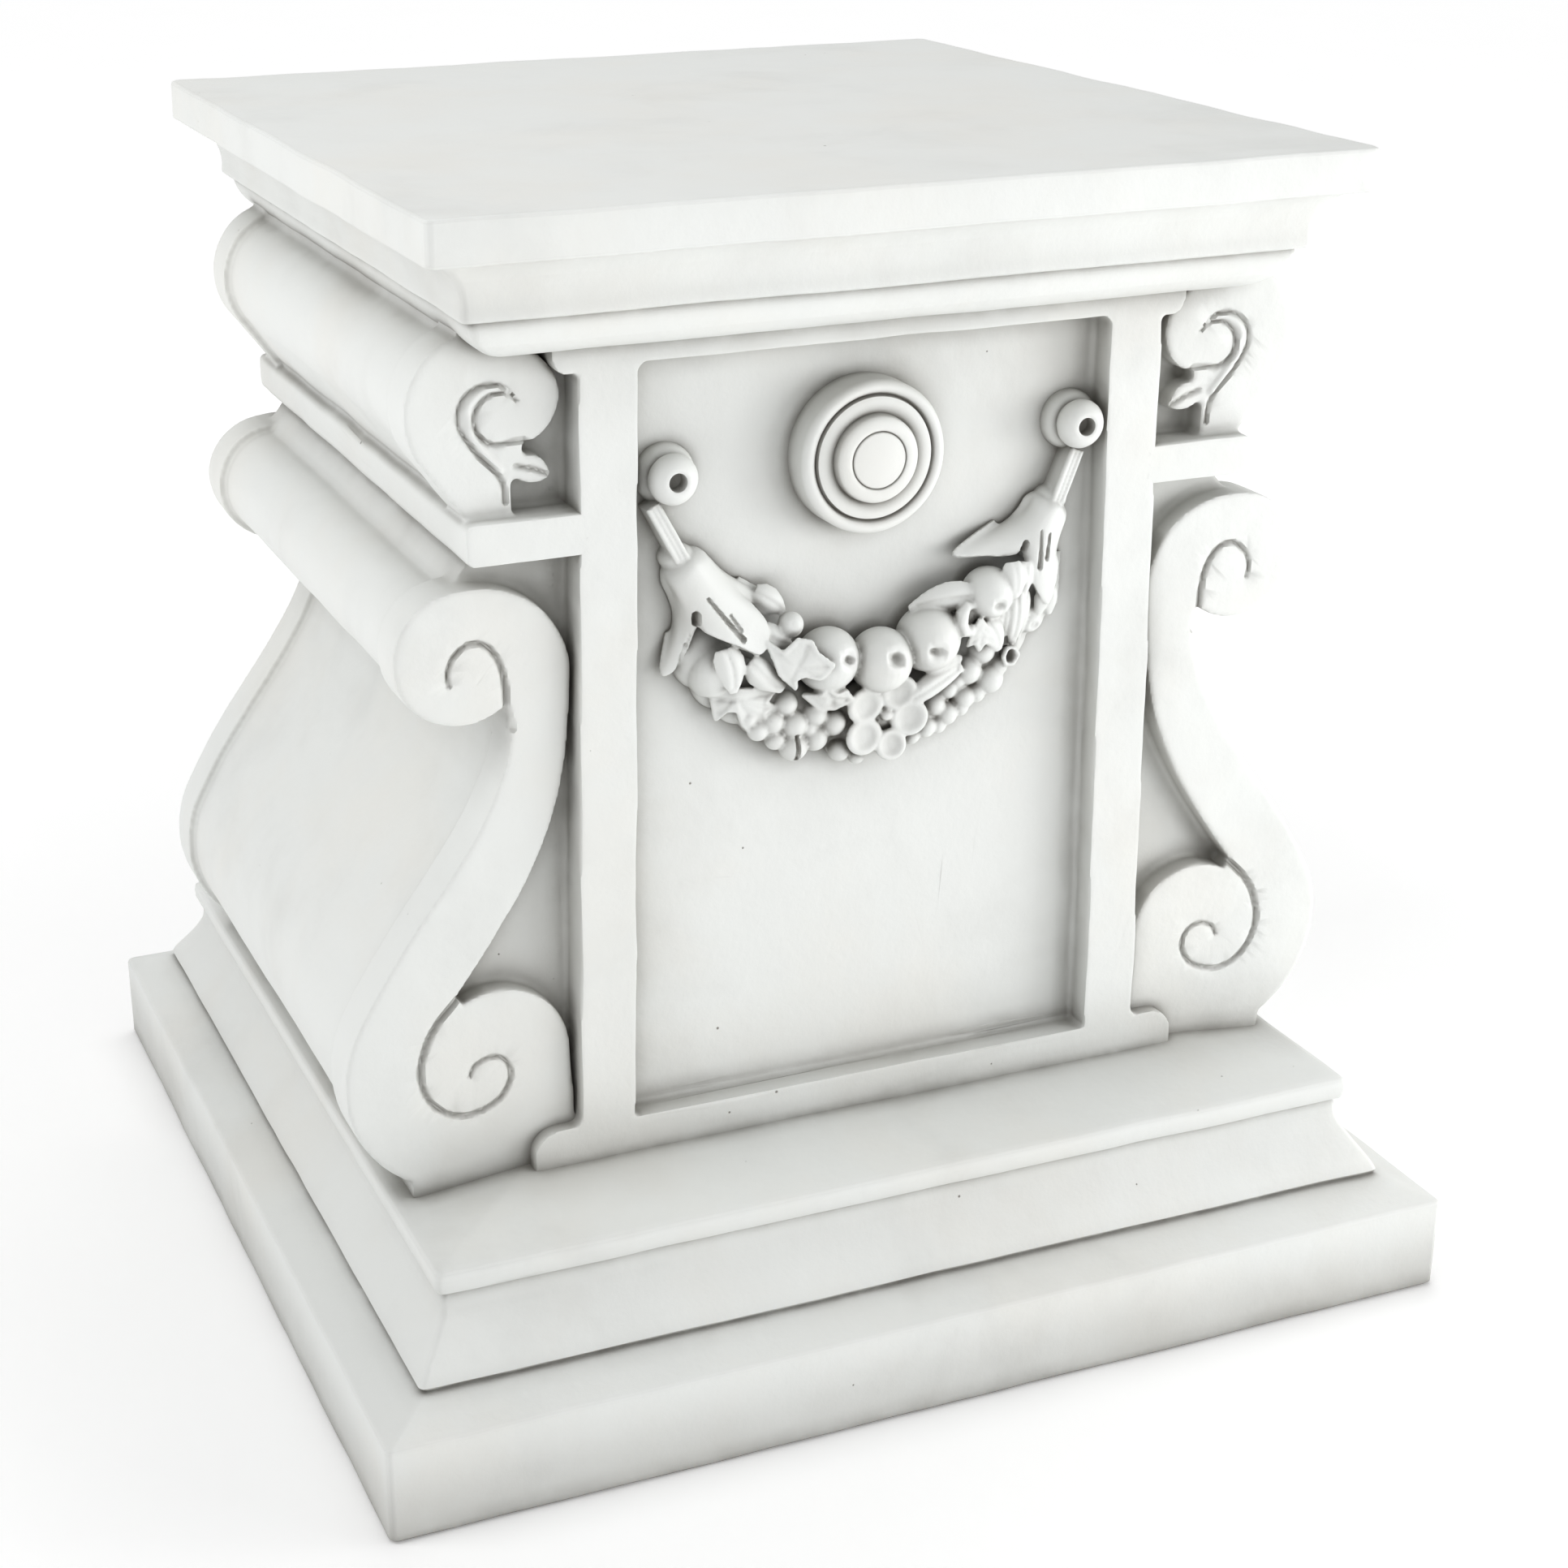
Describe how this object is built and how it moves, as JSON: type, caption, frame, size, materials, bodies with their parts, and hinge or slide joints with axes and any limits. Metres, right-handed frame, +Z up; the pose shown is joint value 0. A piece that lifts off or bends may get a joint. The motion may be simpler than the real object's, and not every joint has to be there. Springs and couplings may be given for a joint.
{
  "type": "statue pedestal",
  "caption": "Square classical statue pedestal with scrolled side consoles, a framed front panel with roundel and fruit festoon, moulded base and cornice, and a flat top slab.",
  "frame": {"origin": "centre of the plinth's underside", "axes": "+Z up, -Y out of the decorated front panel, +X to the right of someone facing the front"},
  "size_m": [0.396, 0.392, 0.406],
  "materials": {
    "aged_white": "matt off-white cast resin stone with grey wash in the recesses"
  },
  "bodies": {
    "root": {"pedestal": "aged_white"}
  },
  "joints": []
}
